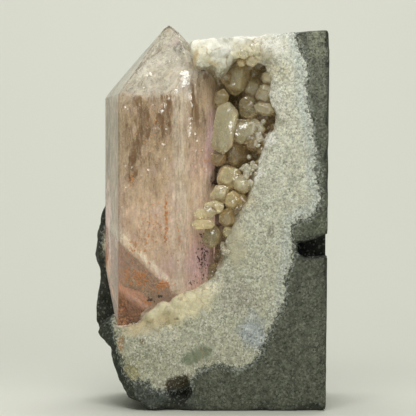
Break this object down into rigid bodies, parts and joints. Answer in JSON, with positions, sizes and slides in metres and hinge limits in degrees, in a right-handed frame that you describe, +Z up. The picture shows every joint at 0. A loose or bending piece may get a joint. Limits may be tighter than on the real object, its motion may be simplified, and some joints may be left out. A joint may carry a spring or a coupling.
{
  "type": "mineral specimen",
  "caption": "Big pointed prismatic amethyst crystal standing in a quartz-lined cavity of a sawn basalt piece, with a crust of small crystals.",
  "frame": {"origin": "bottom centre of the whole piece, on the plane it rests on", "axes": "+Z up along the big crystal, -Y out of the sawn front face, +X to the right seen from the front"},
  "size_m": [0.0486, 0.032, 0.0789],
  "materials": {
    "amethyst": "clear to smoky, natural crystal faces",
    "basalt": "sawn in front, rough behind",
    "druse_quartz": "glossy small crystals",
    "white_quartz": "granular"
  },
  "bodies": {
    "root": {"amethyst_crystal": "amethyst", "basalt_matrix": "basalt", "pocket_druse": "druse_quartz", "quartz_rind": "white_quartz"}
  },
  "joints": []
}
